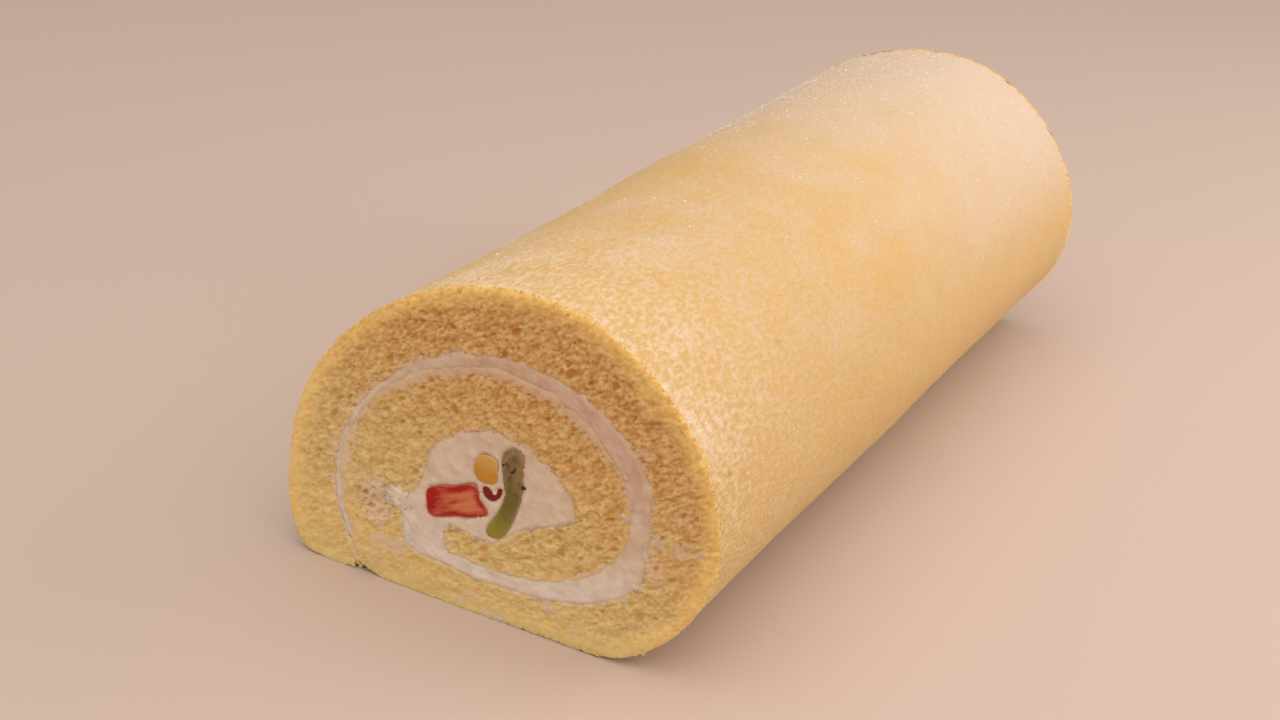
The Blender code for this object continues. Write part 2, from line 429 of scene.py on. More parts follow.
def sponge_crumb():
    """Baked egg sponge, cut: matt pale walls round cells painted a darker brown as their shade, close and
    golden by the skin.
    """
    material, tree, place = new_material("baked_sponge_crumb")
    axes = add(tree, "SeparateXYZ", {"Vector": place}).outputs
    rightwards = add(tree, "Math", {0: axes["X"], 1: 0.25, 2: axes["Z"]})
    # How far towards the top right of the cut, where the crumb is painted darker, partly as painted shade
    # and partly as uneven browning
    browning_and_shade = add(tree, "MapRange", {"Value": rightwards, "From Min": 20 * MM, "From Max": 57 * MM})
    leaning = add(tree, "Mapping", {
        "Vector": place, "Rotation": (0, -LEAN, 0), "Scale": (DRAWN_OUT, 1, 1),
    })
    speck = add(tree, "TexNoise", {
        "Vector": leaning, "Scale": 1 / (0.8 * MM), "Detail": 3.0, "Roughness": 0.55,
    })
    patch = add(tree, "TexNoise", {"Vector": place, "Scale": 1 / (2.6 * MM), "Detail": 3.0})
    cell = add(tree, "Attribute", {}, attribute_name="pit")
    open_crumb = add(tree, "Attribute", {}, attribute_name="open_crumb")
    grain = add(tree, "Math", {0: speck, 1: 1.5, 2: -0.75})
    strong = add(tree, "MapRange", {"Value": browning_and_shade, "To Min": 1.4, "To Max": 1.9})
    mottle = add(tree, "Math", {0: grain, 1: strong, 2: 0.38})
    shade = add(tree, "Math", {0: cell, 1: 0.8, 2: mottle}, use_clamp=True)
    # Each colour is given at the left of the cut, and darker and more brown at the top right: partly painted
    # shade, as less light reaches the top of the cut, partly uneven browning
    wall, hollow, pale, deep, film = (
        add(tree, "Mix", {"Factor": browning_and_shade, "A": left, "B": right}) for left, right in (
            ("#EDD9A2", "#E9C98E"), ("#D4AF6A", "#C18545"), ("#FBE09C", "#F4D48C"),
            ("#F0C774", "#E0AE5E"), ("#E6D0B4", "#DABC9E"),
        )
    )
    # The open cells are painted a darker brown than the walls, painted shade in the cells, and the deepest
    # are painted darker still
    crumb = add(tree, "Mix", {"Factor": shade, "A": wall, "B": hollow})
    toasty = add(tree, "MapRange", {"Value": patch, "From Min": 0.52, "From Max": 0.72, "To Max": 0.4})
    toasted = add(tree, "Math", {0: toasty, 1: browning_and_shade}, operation="MULTIPLY")
    tone = add(tree, "Mix", {"Factor": toasted, "A": crumb, "B": "#C68A3E"})
    close = add(tree, "Mix", {"Factor": shade, "A": pale, "B": deep})
    sliced = add(tree, "Mix", {"Factor": open_crumb, "A": close, "B": tone})
    shadowed = add(tree, "MapRange", {"Value": cell, "From Min": 0.8, "From Max": 1.6, "To Max": 0.45})
    shaded = add(tree, "Mix", {"Factor": shadowed, "A": sliced, "B": "#AC7C42"})
    # Near the table the crumb is painted greener and less red, partly as painted light and shade from the
    # table, partly as the crumb's own tone
    lowest = add(tree, "MapRange", {
        "Value": axes["Z"], "From Min": 11 * MM, "From Max": 1 * MM, "To Max": 0.4,
    })
    baked = add(tree, "Mix", {"Factor": lowest, "A": shaded, "B": "#DED69C"})
    cream = add(tree, "Attribute", {}, attribute_name="smear")
    uneven = add(tree, "Math", {0: shade, 1: -0.9}, operation="MULTIPLY")
    missed = add(tree, "Math", {0: shadowed, 1: -1.3, 2: uneven})
    covered = add(tree, "Math", {0: cream, 1: 1.8, 2: missed}, use_clamp=True)
    colour = add(tree, "Mix", {"Factor": covered, "A": baked, "B": film})
    bump = add(tree, "Bump", {"Height": speck, "Distance": 0.12 * MM, "Strength": 0.7})
    surface = add(tree, "BsdfPrincipled", {
        "Base Color": colour, "Roughness": 0.85, "Normal": bump, "Specular IOR Level": 0.15,
        "Subsurface Weight": 0.3, "Subsurface Radius": (1.0, 0.5, 0.25), "Subsurface Scale": 0.9 * MM,
    })
    add(tree, "OutputMaterial", {"Surface": surface})
    return material


crumb_material = sponge_crumb()
crumb_half("crumb_near_half", NEAR, NEAR_MESH, 3.0)
crumb_half("crumb_far_half", FAR, FAR_MESH, 21.0)

# Golden skin
# The outside of the sheet, where the sponge browned lightly against the paper in its tin. It is thin
# and soft, with small dimples where the paper pulled at it, and ends just behind both cuts.
SKIN_MESH = 0.9                 # side of a mesh square on the skin
SKIN_SET = 0.12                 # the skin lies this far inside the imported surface
SKIN_BEHIND = 0.3               # and its edge this far behind the crumb at a cut
SKIN_FROM = 2.2                 # distance from a cut where its even mesh starts


def skin_relief(place):
    """How far the skin sinks in at a place of the roll."""
    slow = noise.fractal(place / 26, 1.0, 2.0, 3)
    soft = noise.noise(place / 4.0)
    return 0.2 * max(0.5 + slow, 0) + 0.1 * (0.5 + soft)


def sugar_cover(place, upwards):
    """How thickly icing sugar lies on the skin: on top, in drifts, by the near cut and far off."""
    drift = noise.fractal(place / 16, 0.9, 2.1, 3)
    by_cut = exp((NEAR - place.y) / 15)
    far_off = ease(-30, FAR, place.y)
    drifted = 0.45 * drift * (1 - 0.8 * far_off)
    return max(ease(-0.3, 0.9, upwards) * (0.3 + drifted + 0.18 * by_cut + 1.1 * far_off), 0)


def rolled_skin(name, first, last, row_length):
    """The skin between two places along the sheet, as a thin strip that is rolled up."""
    columns = round((last - first) / SKIN_MESH)
    places = np.linspace(first, last, columns + 1)
    skin_ends, through, _ = across_sheet(places)

    rows = round((FAR - NEAR - 2 * SKIN_FROM) / row_length)
    rim = (SKIN, 0.62, 0.46, 0.32, 0.2, 0.1)
    profile = [(NEAR, deep) for deep in rim]
    profile += [(y, 0) for y in np.linspace(NEAR + SKIN_FROM, FAR - SKIN_FROM, rows + 1)]
    profile += [(FAR, deep) for deep in reversed(rim)]
    profile += [(y, SKIN) for y in SECTION_PLACES[-2:0:-1]]
    shape = along_sheet(profile, columns)

    values = []
    for vertex in shape.verts:
        column, y, deep = round(vertex.co.x), vertex.co.y, vertex.co.z
        x, z = skin_ends[column]
        sunk = skin_relief(Vector((x, y, z)))
        outside = ease(COVERED_FROM, COVERED_FROM - 5, places[column])
        sugar = sugar_cover(Vector((x, y, z)), -through[column, 1]) * outside * ease(0.8, 0.1, deep)
        values.append((sugar, max(ease(0.2, 0.8, deep), 1 - outside)))
        deep += SKIN_SET + sunk * (1 - deep / SKIN)
        back = cut_back(x, z, places[column], deep) + SKIN_BEHIND + 0.7 * (1 - outside)
        x, z = skin_ends[column] + through[column] * deep
        vertex.co = laid(x, min(max(y, NEAR + back), FAR - back), z)
    piece = ready_piece(name, shape, "sponge", skin_material)
    for attribute, column in zip(("sugar", "cut_edge"), np.array(values).T):
        keep_value(piece, attribute, column)
    return piece


def sponge_skin():
    """Baked egg sponge skin: matt gold with small dimples of a deeper brown, mottled by fine icing sugar."""
    material, tree, place = new_material("baked_sponge_skin")
    axes = add(tree, "SeparateXYZ", {"Vector": place}).outputs
    patch = add(tree, "TexNoise", {"Vector": place, "Scale": 1 / (14 * MM), "Detail": 2.0})
    lengthwise = add(tree, "Mapping", {"Vector": place, "Scale": (1.0, 1.7, 1.0)})
    blotch = add(tree, "TexNoise", {
        "Vector": lengthwise, "Scale": 1 / (1.05 * MM), "Detail": 3.0, "Roughness": 0.6,
    })
    gold = add(tree, "Mix", {"Factor": patch, "A": "#D6B980", "B": "#D2AE71"})
    edge = add(tree, "Attribute", {}, attribute_name="cut_edge")
    cut = add(tree, "Mix", {"Factor": edge, "A": gold, "B": "#E6C280"})
    dimple = add(tree, "TexVoronoi", {"Vector": place, "Scale": 1 / (4.4 * MM)})
    kept = add(tree, "Math", {0: dimple.outputs["Color"], 1: 0.2}, operation="LESS_THAN")
    hollow = add(tree, "MapRange", {"Value": dimple.outputs["Distance"], "From Min": 0.26, "From Max": 0.08})
    sunk = add(tree, "Math", {0: hollow, 1: kept}, operation="MULTIPLY")
    browned = add(tree, "Math", {0: sunk, 1: 0.35}, operation="MULTIPLY")
    marked = add(tree, "Mix", {"Factor": browned, "A": cut, "B": "#C8954E"})
    cover = add(tree, "Attribute", {}, attribute_name="sugar")
    nearness = add(tree, "MapRange", {
        "Value": axes["Y"], "From Min": -105 * MM, "From Max": 10 * MM, "To Min": 2.6, "To Max": 0.6,
    })
    centred = add(tree, "Math", {0: blotch, 1: 0.5}, operation="SUBTRACT")
    mottle = add(tree, "Math", {0: centred, 1: nearness, 2: 0.06})
    white = add(tree, "Math", {0: cover, 1: 0.62, 2: mottle}, use_clamp=True)
    kept_clear = add(tree, "Math", {0: edge, 1: -1.0, 2: 1.0})
    sugared = add(tree, "Math", {0: white, 1: kept_clear}, operation="MULTIPLY")
    by_cut = add(tree, "MapRange", {"Value": axes["Y"], "From Min": -60 * MM, "From Max": -105 * MM})
    sugar = add(tree, "Mix", {"Factor": by_cut, "A": "#D6C7B9", "B": "#EEDDCA"})
    colour = add(tree, "Mix", {"Factor": sugared, "A": marked, "B": sugar})
    raised = add(tree, "Math", {0: sunk, 1: -0.8, 2: blotch})
    fading = add(tree, "Math", {0: nearness, 1: 0.3}, operation="MULTIPLY")
    bump = add(tree, "Bump", {"Height": raised, "Distance": 0.7 * MM, "Strength": fading})
    surface = add(tree, "BsdfPrincipled", {
        "Base Color": colour, "Roughness": 0.8, "Normal": bump, "Specular IOR Level": 0.25,
        "Subsurface Weight": 0.2, "Subsurface Radius": (1.0, 0.65, 0.35), "Subsurface Scale": 1.0 * MM,
    })
    add(tree, "OutputMaterial", {"Surface": surface})
    return material


skin_material = sponge_skin()
outer_skin = rolled_skin("skin_outer_turn", 0, COVERED_FROM + 8, SKIN_MESH)
rolled_skin("skin_inner_turn", COVERED_FROM + 8, SHEET_LENGTH, 30)

# Whipped cream
# Stiffly whipped cream, spread over the sheet and heaped along its inner end before the sheet is
# rolled up. The knife drags it along the turns and out over the edges of the crumb.
CREAM_MESH = 0.34
CREAM_OVERLAP = 0.55            # cream pressed into the walls of the crumb
HEAP_MIDDLE = 32                # height of the middle of the heap
RING_FROM = (19, 24)            # distances from it between which the ring begins
# Places across and up the cut and sizes of the beads that the knife left on the cream
BEADS = ((36.0, 41.0, 1.5), (33.2, 40.6, 1.4), (34.4, 37.6, 1.5), (33.2, 34.2, 1.3), (35.4, 34.8, 1.2))


def finely_cut(node, mesh_size):
    """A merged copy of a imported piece, with both its cuts divided into small squares."""
    shape = packed_shape(node)
    low, high = (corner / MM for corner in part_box(node))
    for cut in (NEAR, FAR):
        flat = [edge for edge in shape.edges if all(on_cut(face, cut) for face in edge.link_faces)]
        bmesh.ops.dissolve_limit(shape, angle_limit=0.01, verts=[], edges=flat)
        parts = [face for face in shape.faces if on_cut(face, cut)]
        parts += {edge for face in parts for edge in face.edges} | {v for face in parts for v in face.verts}
        for axis in (Vector((1, 0, 0)), Vector((0, 0, 1))):
            for place in np.arange(low @ axis + mesh_size / 2, high @ axis, mesh_size):
                divided = bmesh.ops.bisect_plane(
                    shape, geom=parts, dist=1e-6, plane_co=axis * place * MM, plane_no=axis
                )
                parts = divided["geom"]
    return shape


def carve_cuts(shape, push, relief):
    """Presses each cut's outline outwards, gives its face the relief, and keeps the way to its edge."""
    from_edges = {}
    for cut, inwards in CUTS:
        outwards = {}
        faces = [face for face in shape.faces if on_cut(face, cut)]
        for face in faces:
            for corner in face.loops:
                if not on_cut(corner.link_loop_radial_next.face, cut):
                    start, end = corner.vert, corner.link_loop_next.vert
                    side = (end.co - start.co).cross(face.normal)
                    for vertex in (start, end):
                        outwards[vertex] = outwards.get(vertex, Vector()) + side
        outline = KDTree(len(outwards))
        for number, vertex in enumerate(outwards):
            outline.insert(vertex.co, number)
        outline.balance()
        moves = {}
        for vertex in {v for face in faces for v in face.verts}:
            from_edges[vertex] = outline.find(vertex.co)[2] / MM
            x, z = vertex.co.x / MM, vertex.co.z / MM
            moves[vertex] = Vector((0, inwards * relief(x, z, from_edges[vertex], cut) * MM, 0))
            if vertex in outwards:
                moves[vertex] += outwards[vertex].normalized() * push(x, z) * MM
        for vertex, move in moves.items():
            vertex.co += move
    return [from_edges.get(vertex, 0) for vertex in shape.verts]


def cream_push(x, z):
    return max(CREAM_OVERLAP + 1.2 * noise.fractal(Vector((x / 2.6, z / 2.6, 3)), 0.5, 2.3, 4), 0.3)


def cream_relief(x, z, from_edge, cut):
    """Soft lumps in the heap, drag marks along the turns, and beads where the knife left the cream."""
    lumps = noise.fractal(Vector((x / 4.5, z / 4.5, cut)), 0.9, 2.0, 3)
    folds = 1 - abs(wave(x / 4.5, z / 4.5, cut + 3)) * 2
    from_middle = hypot(x, z - HEAP_MIDDLE)
    drag = noise.fractal(Vector((from_middle / 0.9, x / 9, z / 9 + cut)), 0.9, 2.0, 3)
    beads = max(ease(wide, wide * 0.3, hypot(x - at_x, z - at_z)) for at_x, at_z, wide in BEADS)
    in_ring = ease(*RING_FROM, from_middle)
    edge = ease(0.4, 0, from_edge)
    relief = 0.22 + 0.32 * lumps + 0.08 * folds**3 + in_ring * 0.12 * drag
    return max(relief - 0.2 * beads + 0.3 * edge, 0.05)


def whipped_cream():
    """Whipped dairy cream: off-white, soft and slightly translucent, stained by crumbs at its edges."""
    material, tree, place = new_material("whipped_cream")
    patch = add(tree, "TexNoise", {"Vector": place, "Scale": 1 / (3.5 * MM), "Detail": 3.0})
    bubble = add(tree, "TexNoise", {"Vector": place, "Scale": 1 / (0.8 * MM), "Detail": 2.0})
    axes = add(tree, "SeparateXYZ", {"Vector": place}).outputs
    # Towards the top right the cream is darker and redder: partly where the ring of cream is thin over the
    # crumb, partly painted reddish shade at the top of the cut
    upper = add(tree, "Math", {0: axes["X"], 1: 0.45, 2: axes["Z"]})
    thin = add(tree, "MapRange", {"Value": upper, "From Min": 30 * MM, "From Max": 60 * MM, "To Max": 0.8})
    scraped = add(tree, "Math", {0: patch, 1: 2.4, 2: -0.7}, use_clamp=True)
    # Low down the cream is painted whiter and less pink, painted light thrown up by the table
    painted_light_low = add(tree, "MapRange", {"Value": axes["Z"], "From Min": 27 * MM, "From Max": 13 * MM})
    light = add(tree, "Mix", {"Factor": painted_light_low, "A": "#EFDFCC", "B": "#F2E9DE"})
    dull = add(tree, "Mix", {"Factor": painted_light_low, "A": "#D9C5B1", "B": "#DED2C6"})
    thick = add(tree, "Mix", {"Factor": scraped, "A": light, "B": dull})
    uneven = add(tree, "Mix", {"Factor": scraped, "A": "#DABFAB", "B": "#C8A081"})
    white = add(tree, "Mix", {"Factor": thin, "A": thick, "B": uneven})
    from_edge = add(tree, "Attribute", {}, attribute_name="from_edge")
    ragged = add(tree, "Math", {0: bubble, 1: 1.9, 2: -0.6})
    near_edge = add(tree, "Math", {0: ragged, 1: from_edge}, operation="SUBTRACT")
    stain = add(tree, "MapRange", {"Value": near_edge, "From Min": -0.5, "From Max": 0.8, "To Max": 0.45})
    colour = add(tree, "Mix", {"Factor": stain, "A": white, "B": "#D9BC96"})
    bump = add(tree, "Bump", {"Height": bubble, "Distance": 0.08 * MM, "Strength": 0.5})
    surface = add(tree, "BsdfPrincipled", {
        "Base Color": colour, "Roughness": 0.4, "Normal": bump, "Specular IOR Level": 0.45,
        "Subsurface Weight": 0.3, "Subsurface Radius": (1.0, 0.8, 0.65), "Subsurface Scale": 1.2 * MM,
    })
    add(tree, "OutputMaterial", {"Surface": surface})
    return material


cream_material = whipped_cream()
cream_shape = finely_cut("cream", CREAM_MESH)
cream_edges = carve_cuts(cream_shape, cream_push, cream_relief)
cream = ready_piece("whipped_cream", cream_shape, "cream", cream_material)
keep_value(cream, "from_edge", cream_edges)

# Cream dabs
# Small dabs of cream that the knife left at the bottom of the cut, on the crumb beside the ring, over
# the cherry and as wet specks at the top of the core.
# Places across and up the cut, half widths, half heights and how far the dabs stand out
DABS = (
    (-28.6, 7.0, 0.8, 1.0, 0.4), (1.2, 0.9, 3.0, 0.7, 0.5), (4.6, 0.8, 1.2, 0.5, 0.5),
    (1.2, 30.3, 0.9, 1.0, 0.5), (4.3, 43.8, 0.5, 0.4, 0.5), (17.6, 36.1, 0.5, 0.35, 0.5),
    (38.2, 30.9, 1.9, 1.2, 0.5), (34.4, 19.4, 1.3, 0.8, 0.5), (14.6, 7.6, 1.5, 0.9, 0.4),
    (-21.8, 20.9, 4.4, 2.6, 0.6), (-20.2, 12.0, 2.0, 3.4, 0.55), (36.4, 27.2, 1.2, 1.4, 0.4),
    (36.3, 40.8, 1.3, 1.1, 0.55), (31.2, 42.6, 1.3, 1.3, 0.45), (32.1, 40.0, 1.2, 1.0, 0.45),
    (32.4, 36.8, 1.5, 1.3, 0.5), (32.0, 34.0, 1.4, 1.2, 0.5),
)
DAB_BACK = 0.7                  # their middles lie this far behind the cut


def soft_dabs(name, dabs, material):
    """Small uneven lumps at both cuts."""
    shape = bmesh.new()
    for cut, inwards in CUTS:
        for x, z, wide, high, proud in dabs:
            middle = Vector((x, cut + inwards * DAB_BACK, z)) * MM
            size = Matrix.Diagonal((wide * MM, proud * MM, high * MM, 1))
            lump = Matrix.Translation(middle) @ size
            dab = bmesh.ops.create_icosphere(shape, subdivisions=4, radius=1, matrix=lump)["verts"]
            for vertex in dab:
                wave = noise.fractal(vertex.co / (1.4 * MM), 0.7, 2.0, 3)
                vertex.co = middle + (vertex.co - middle) * (1 + 0.6 * wave)
                vertex.co.y = min(max(vertex.co.y, (NEAR + 0.05) * MM), (FAR - 0.05) * MM)
                vertex.co.z = max(vertex.co.z, ABOVE_TABLE * MM)
    return ready_piece(name, shape, None, material)


dabs_of_cream = soft_dabs("cream_dabs", DABS, cream_material)
keep_value(dabs_of_cream, "from_edge", [1] * len(dabs_of_cream.data.vertices))

# Fruit
# Strips of strawberry, tinned peach, cherry and kiwi laid in a row on the cream before rolling, so
# the knife cuts straight through them. Their cut flesh is wet and slightly translucent.
FRUIT_MESH = 0.35


def fruit_push(x, z):
    return 0.05 + 0.16 * wave(x / 1.3, z / 1.3, 8)


def fruit_relief(x, z, from_edge, cut):
    flesh = noise.fractal(Vector((x / 3, z / 3, cut + 2)), 0.9, 2.0, 3)
    return max(0.1 + 0.16 * flesh + 0.12 * ease(0.7, 0, from_edge), 0.04)


def fruit_strip(node, material):
    shape = finely_cut(node, FRUIT_MESH)
    from_edges = carve_cuts(shape, fruit_push, fruit_relief)
    strip = ready_piece(node + "_strip", shape, node, material)
    keep_value(strip, "from_edge", from_edges)


def wet_flesh(tree, colour, fibre, roughness):
    """Cut fruit: juicy flesh with a wet gloss, its fibres just felt under the knife."""
    bump = add(tree, "Bump", {"Height": fibre, "Distance": 0.25 * MM, "Strength": 0.7})
    surface = add(tree, "BsdfPrincipled", {
        "Base Color": colour, "Roughness": roughness, "Normal": bump, "Specular IOR Level": 0.3,
        "Subsurface Weight": 0.25, "Subsurface Radius": (1.0, 0.45, 0.25), "Subsurface Scale": 1.0 * MM,
    })
    add(tree, "OutputMaterial", {"Surface": surface})


def fibres(tree, place, lean, long, fine):
    """A noise drawn out into fibres that lean from the horizontal by the given degrees."""
    laid_out = add(tree, "Mapping", {
        "Vector": place, "Rotation": (0, -radians(lean), 0), "Scale": (long * MM, 0.02, fine * MM),
    })
    return add(tree, "TexNoise", {"Vector": laid_out, "Scale": 1.0, "Detail": 3.0})


def softened(tree, colour):
    """The flesh's colour, blurred into the cream's at the very edge."""
    from_edge = add(tree, "Attribute", {}, attribute_name="from_edge")
    blurred = add(tree, "MapRange", {"Value": from_edge, "From Min": 0.3, "From Max": 0.0, "To Max": 0.25})
    return add(tree, "Mix", {"Factor": blurred, "A": colour, "B": "#D9BFA6"})


def strawberry_flesh():
    """Fresh strawberry: deep red at its outside and left, with pale marbled flesh to the right."""
    material, tree, place = new_material("strawberry_flesh")
    fibre = fibres(tree, place, 27, 5.0, 1.3)
    from_edge = add(tree, "Attribute", {}, attribute_name="from_edge")
    side = add(tree, "SeparateXYZ", {"Vector": place}).outputs["X"]
    right = add(tree, "MapRange", {"Value": side, "From Min": -14 * MM, "From Max": -5 * MM})
    middle = add(tree, "MapRange", {"Value": from_edge, "From Min": 0.2, "From Max": 1.8})
    inside = add(tree, "Math", {0: right, 1: middle}, operation="MULTIPLY")
    marbled = add(tree, "Math", {0: fibre, 1: 2.6, 2: -1.25})
    core = add(tree, "Math", {0: inside, 1: marbled}, operation="ADD", use_clamp=True)
    colour = add(tree, "Mix", {"Factor": core, "A": "#B20B06", "B": "#DA8058"})
    wet_flesh(tree, softened(tree, colour), fibre, 0.35)
    return material


def peach_flesh():
    """Tinned peach: smooth orange-yellow flesh, paler at its top where it is thin."""
    material, tree, place = new_material("peach_flesh")
    fibre = add(tree, "TexNoise", {
        "Vector": place, "Scale": 1 / (2.4 * MM), "Detail": 3.0, "Distortion": 0.4,
    })
    height = add(tree, "SeparateXYZ", {"Vector": place}).outputs["Z"]
    wavering = add(tree, "Math", {0: fibre, 1: 4 * MM, 2: height})
    thin = add(tree, "MapRange", {"Value": wavering, "From Min": 35.5 * MM, "From Max": 40 * MM})
    colour = add(tree, "Mix", {"Factor": thin, "A": "#CF922A", "B": "#DDB264"})
    wet_flesh(tree, softened(tree, colour), fibre, 0.32)
    return material


def cherry_flesh():
    """Dark sweet cherry in syrup: nearly black red and glossy."""
    material, tree, place = new_material("cherry_flesh")
    fibre = add(tree, "TexNoise", {"Vector": place, "Scale": 1 / (2 * MM), "Detail": 2.0})
    colour = add(tree, "Mix", {"Factor": fibre, "A": "#6A0804", "B": "#8E1A0C"})
    wet_flesh(tree, colour, fibre, 0.25)
    return material


def kiwi_flesh():
    """Ripe kiwi: glassy olive flesh with dark streaks by its seeds, brown at its top, green at its tip."""
    material, tree, place = new_material("kiwi_flesh")
    fibre = fibres(tree, place, 75, 6.0, 1.2)
    height = add(tree, "SeparateXYZ", {"Vector": place}).outputs["Z"]
    wavering = add(tree, "Math", {0: fibre, 1: 5 * MM, 2: height})
    upper = add(tree, "MapRange", {"Value": wavering, "From Min": 32 * MM, "From Max": 39 * MM})
    lower = add(tree, "MapRange", {"Value": wavering, "From Min": 30 * MM, "From Max": 23 * MM})
    seedless = add(tree, "MapRange", {"Value": height, "From Min": 38.5 * MM, "From Max": 40.5 * MM})
    green = add(tree, "Mix", {"Factor": lower, "A": "#7A6C30", "B": "#A09732"})
    brown = add(tree, "Mix", {"Factor": seedless, "A": "#967D50", "B": "#A68C60"})
    flesh = add(tree, "Mix", {"Factor": upper, "A": green, "B": brown})
    blotch = add(tree, "TexNoise", {"Vector": place, "Scale": 1 / (1.9 * MM), "Detail": 3.0})
    patchy = add(tree, "Mix", {"Factor": 0.6, "A": fibre, "B": blotch}, data_type="FLOAT")
    streak = add(tree, "MapRange", {"Value": patchy, "From Min": 0.46, "From Max": 0.6})
    seeded = add(tree, "MapRange", {
        "Value": height, "From Min": 27 * MM, "From Max": 34 * MM, "To Min": 0.15,
    })
    streaked = add(tree, "Math", {0: streak, 1: seeded}, operation="MULTIPLY")
    dark = add(tree, "Math", {0: streaked, 1: 0.7}, operation="MULTIPLY")
    colour = add(tree, "Mix", {"Factor": dark, "A": flesh, "B": "#46341E"})
    wet_flesh(tree, softened(tree, colour), fibre, 0.35)
    return material


fruit_strip("strawberry", strawberry_flesh())
fruit_strip("peach", peach_flesh())
fruit_strip("cherry_sliver", cherry_flesh())
fruit_strip("kiwi", kiwi_flesh())

# Kiwi seeds
# The kiwi's own seeds, small, flat, hard and black. They stay in its flesh where the knife passed,
# and the knife dragged one into the cream.
SEED_SIZE = (0.42, 0.3, 0.7)    # half its width, thickness and length
SEED_BACK = 0.36                # how far behind the cut its middle lies
# Places across and up the cut, and how each is turned, in degrees
SEEDS = ((3.5, 37.0, 60), (4.1, 37.5, 20), (5.4, 35.9, 75), (5.9, 36.5, 30), (8.0, 33.1, 85))


def kiwi_seeds():
    shape = bmesh.new()
    for cut, inwards in CUTS:
        for x, z, turn in SEEDS:
            place = Matrix.Translation(Vector((x, cut + inwards * SEED_BACK, z)) * MM)
            turned = place @ Matrix.Rotation(radians(turn), 4, "Y")
            seed = turned @ Matrix.Diagonal((*SEED_SIZE, 1)) @ Matrix.Diagonal((MM, MM, MM, 1))
            bmesh.ops.create_uvsphere(shape, u_segments=10, v_segments=6, radius=1, matrix=seed)
    ready_piece("kiwi_seeds", shape, None, seed_coat())


def seed_coat():
    """Kiwi seed coat: hard, black-brown and shiny in the juice."""
    material, tree, place = new_material("kiwi_seed_coat")
    mottle = add(tree, "TexNoise", {"Vector": place, "Scale": 1 / (0.5 * MM)})
    colour = add(tree, "Mix", {"Factor": mottle, "A": "#1E1814", "B": "#3A2C22"})
    surface = add(tree, "BsdfPrincipled", {"Base Color": colour, "Roughness": 0.3})
    add(tree, "OutputMaterial", {"Surface": surface})
    return material


kiwi_seeds()

# Icing sugar
# Fine icing sugar sifted over the finished roll. It clings in small clumps, thickest along the top,
# by the near cut and towards the far end, and little of it stays on the steep sides.
SUGAR_CLUMPS = 11000
SUGAR_CLUMP = 0.15              # usual radius of a clump
SUGAR_GATHERS = 1.7             # how much more clumps lie where the sugar is thick
SUGAR_LIFT = 0.03               # how far their middles lie above the skin


def strewn(name, grain, spots, sizes, draw, slot, material):
    """Copies of one small grain joined into a piece, each stretched and turned its own way."""
    corners = np.array([vertex.co for vertex in grain.verts])
    sides = np.array([[vertex.index for vertex in face.verts] for face in grain.faces])
    turns = [Quaternion(turn).normalized().to_matrix() for turn in draw.normal(size=(len(spots), 4))]
    shapes = corners * draw.uniform(0.65, 1.35, (len(spots), len(corners), 1)) * sizes[:, None, None]
    points = np.einsum("nij,nvj->nvi", np.array(turns), shapes) + spots[:, None]
    first_corners = np.arange(len(spots))[:, None, None] * len(corners)
    low, high = (np.array(corner) / MM for corner in cad_box)
    points = np.clip(points, low + ABOVE_TABLE, high - ABOVE_TABLE)
    mesh = bpy.data.meshes.new(name)
    mesh.from_pydata(points.reshape(-1, 3) * MM, [], (sides + first_corners).reshape(-1, sides.shape[1]))
    return riding_piece(name, mesh, None, material)


def sugared_spots(count, draw):
    """Spots on the skin, in millimetres, drawn by how thickly the sugar lies."""
    mesh = outer_skin.data
    co, normals = np.empty(len(mesh.vertices) * 3), np.empty(len(mesh.vertices) * 3)
    mesh.vertices.foreach_get("co", co)
    mesh.vertices.foreach_get("normal", normals)
    co, normals = co.reshape(-1, 3) / MM, normals.reshape(-1, 3)
    cover = np.empty(len(mesh.vertices))
    mesh.attributes["sugar"].data.foreach_get("value", cover)
    squares = np.array([list(p.vertices) for p in mesh.polygons if len(p.vertices) == 4 and p.area < 2e-6])
    likely = cover[squares].mean(axis=1) ** SUGAR_GATHERS
    chosen = squares[draw.choice(len(squares), count, p=likely / likely.sum())]
    a, b = draw.random((2, count, 1))
    shares = np.stack([(1 - a) * (1 - b), a * (1 - b), a * b, (1 - a) * b], axis=1)
    return (co[chosen] * shares).sum(axis=1) + normals[chosen[:, 0]] * SUGAR_LIFT


def icing_sugar():
    """Icing sugar: a fine dry powder that scatters light, so its clumps are bright matt white."""
    material, tree, place = new_material("icing_sugar")
    clump = add(tree, "TexNoise", {"Vector": place, "Scale": 1 / (3 * MM)})
    colour = add(tree, "Mix", {"Factor": clump, "A": "#FAF4EE", "B": "#F4E9DE"})
    surface = add(tree, "BsdfPrincipled", {
        "Base Color": colour, "Roughness": 0.9, "Specular IOR Level": 0.3,
    })
    add(tree, "OutputMaterial", {"Surface": surface})
    return material


sugar_draw = np.random.default_rng(11)
sugar_grain = bmesh.new()
bmesh.ops.create_uvsphere(sugar_grain, u_segments=4, v_segments=2, radius=SUGAR_CLUMP)
spots = sugared_spots(SUGAR_CLUMPS, sugar_draw)
sizes = sugar_draw.lognormal(-0.15, 0.35, SUGAR_CLUMPS)
strewn("icing_sugar", sugar_grain, spots, sizes, sugar_draw, "sponge", icing_sugar())

# Loose crumbs
# Crumbs that the knife pulled off the sponge: along the bottom edge of each cut, at the seam, on
# the rim and stuck to the edges of the cream.
EDGE_CRUMBS = 260
CREAM_CRUMBS = 60
SEAM_CRUMBS = 90
